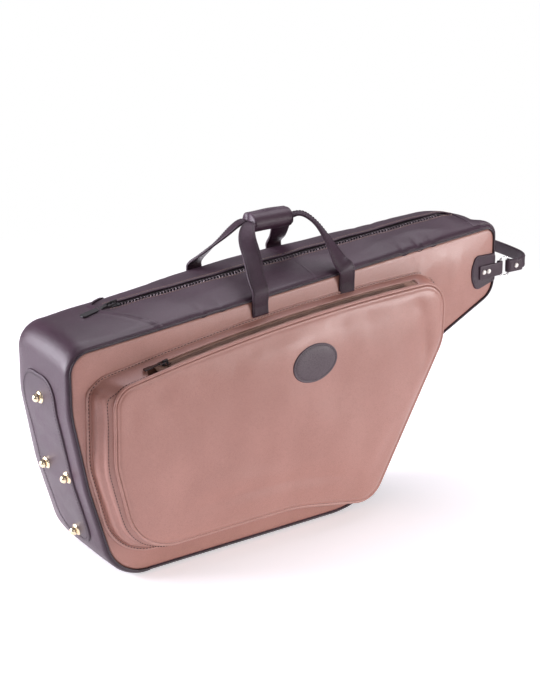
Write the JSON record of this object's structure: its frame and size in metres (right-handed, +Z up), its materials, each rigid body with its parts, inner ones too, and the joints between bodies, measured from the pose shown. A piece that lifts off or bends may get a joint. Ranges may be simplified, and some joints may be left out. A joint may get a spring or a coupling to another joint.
{
  "type": "double saxophone case",
  "caption": "Soft padded leather gig bag for an alto and a straight soprano saxophone, with a zipped top, a zipped bellows pocket, carrying handles and ball feet on the bell end.",
  "frame": {"origin": "on the floor under the middle of the flat base, between the front and rear panels", "axes": "+X along the case from the bell end to the neck end, -Y towards the front pocket, +Z up"},
  "size_m": [0.8171, 0.2278, 0.466],
  "materials": {
    "panel_leather": "satin copper rose leather",
    "gusset_leather": "dark aubergine leather, fine grain",
    "trim_leather": "dark aubergine leather, stitched edges",
    "welt_leather": "dark rolled leather",
    "foam": "closed-cell foam",
    "lining_plush": "short plush",
    "zip_tape": "woven tape",
    "pocket_zip_tape": "woven tape",
    "zip_coil": "moulded coil",
    "zip_metal": "moulded teeth",
    "slider_metal": "black enamel",
    "foot_brass": "polished",
    "fitting_nickel": "polished nickel",
    "stiffener": "rigid sheet",
    "hook_strip": "hook tape"
  },
  "bodies": {
    "case": {"base_gusset": "gusset_leather", "bell_gusset": "gusset_leather", "bell_zip_end": "zip_tape", "divider_board": "stiffener", "divider_hook_strips": "hook_strip", "divider_pads": "foam", "end_board": "stiffener", "feet": "foot_brass", "foot_nuts": "fitting_nickel", "foot_plate": "gusset_leather", "foot_washers": "foot_brass", "front_panel_foam": "foam", "front_panel_leather": "panel_leather", "front_panel_lining": "lining_plush", "front_strap_roots": "trim_leather", "front_tab": "trim_leather", "front_tab_loop": "trim_leather", "front_tab_rivets": "fitting_nickel", "front_welt": "welt_leather", "gusset_foam": "foam", "gusset_lining": "lining_plush", "neck_gusset": "gusset_leather", "neck_zip_end": "zip_tape", "pocket_bellows": "panel_leather", "pocket_zip_coil_upper": "zip_coil", "pocket_zip_tape_upper": "pocket_zip_tape", "rear_panel_foam": "foam", "rear_panel_leather": "panel_leather", "rear_panel_lining": "lining_plush", "rear_strap_roots": "trim_leather", "rear_tab": "trim_leather", "rear_tab_loop": "trim_leather", "rear_tab_rivets": "fitting_nickel", "rear_welt": "welt_leather"},
    "front_lip": {"front_lip": "gusset_leather", "front_zip_tape": "zip_tape", "front_zip_teeth": "zip_metal"},
    "rear_lip": {"rear_lip": "gusset_leather", "rear_zip_tape": "zip_tape", "rear_zip_teeth": "zip_metal"},
    "main_slider": {"main_slider": "slider_metal"},
    "main_pull": {"main_pull": "slider_metal"},
    "pocket_cover": {"pocket_panel": "panel_leather", "pocket_piping": "welt_leather", "oval_patch": "trim_leather", "pocket_zip_tape_lower": "pocket_zip_tape", "pocket_zip_coil_lower": "zip_coil"},
    "pocket_slider": {"pocket_slider": "slider_metal"},
    "pocket_pull": {"pocket_pull": "slider_metal"},
    "front_handle": {"front_handle_strap": "trim_leather", "front_grip_wrap": "trim_leather"},
    "rear_handle": {"rear_handle_strap": "trim_leather", "rear_grip_wrap": "trim_leather"},
    "front_ring": {"front_ring": "fitting_nickel"},
    "rear_ring": {"rear_ring": "fitting_nickel"},
    "end_strap": {"end_strap": "trim_leather", "end_strap_rivets": "fitting_nickel"}
  },
  "joints": [
    {"name": "front_lip_fold", "type": "hinge", "parent": "case", "child": "front_lip", "pos_m": [-0.156, -0.08954, 0.35003], "axis": [0.9964, 0.0554, 0.0649], "range_deg": [0, 25]},
    {"name": "rear_lip_fold", "type": "hinge", "parent": "case", "child": "rear_lip", "pos_m": [-0.156, 0.08954, 0.35003], "axis": [-0.9964, 0.0554, -0.0649], "range_deg": [0, 25]},
    {"name": "main_zip_run", "type": "slide", "parent": "case", "child": "main_slider", "axis": [0.9975, 0, 0.071], "range_m": [0, 0.5607]},
    {"name": "main_pull_swing", "type": "hinge", "parent": "main_slider", "child": "main_pull", "pos_m": [-0.16509, 0, 0.36321], "axis": [-0.2916, 0.9563, -0.0208], "range_deg": [0, 150]},
    {"name": "pocket_cover_lean", "type": "hinge", "parent": "case", "child": "pocket_cover", "pos_m": [-0.14641, -0.11901, 0.04609], "axis": [0.9962, 0.0554, -0.0674], "range_deg": [0, 12]},
    {"name": "pocket_zip_run", "type": "hinge", "parent": "case", "child": "pocket_slider", "pos_m": [0.28041, -0.08427, -2.54337], "axis": [-0.0555, 0.9985, 0], "range_deg": [0, 8.25]},
    {"name": "pocket_pull_swing", "type": "hinge", "parent": "pocket_slider", "child": "pocket_pull", "pos_m": [-0.14836, -0.10812, 0.30878], "axis": [-0.056, 0.9984, 0], "range_deg": [0, 150]},
    {"name": "front_handle_swing", "type": "hinge", "parent": "case", "child": "front_handle", "pos_m": [0.024, -0.08573, 0.36745], "axis": [0.9964, 0.0554, 0.0649], "range_deg": [0, 150]},
    {"name": "rear_handle_swing", "type": "hinge", "parent": "case", "child": "rear_handle", "pos_m": [0.024, 0.08573, 0.36745], "axis": [-0.9964, 0.0554, -0.0649], "range_deg": [0, 150]},
    {"name": "front_ring_swing", "type": "hinge", "parent": "case", "child": "front_ring", "pos_m": [0.4535, -0.05814, 0.32], "axis": [0, 0, 1], "range_deg": [-30, 30]},
    {"name": "rear_ring_swing", "type": "hinge", "parent": "case", "child": "rear_ring", "pos_m": [0.4535, 0.05814, 0.32], "axis": [0, 0, 1], "range_deg": [-30, 30]},
    {"name": "end_strap_swing", "type": "hinge", "parent": "front_ring", "child": "end_strap", "pos_m": [0.4695, -0.05814, 0.32], "axis": [0, 0, 1], "range_deg": [-30, 30]}
  ],
  "couplings": [
    {"joint": "rear_ring_swing", "follows": "front_ring_swing", "ratio": 1},
    {"joint": "end_strap_swing", "follows": "front_ring_swing", "ratio": -1}
  ]
}
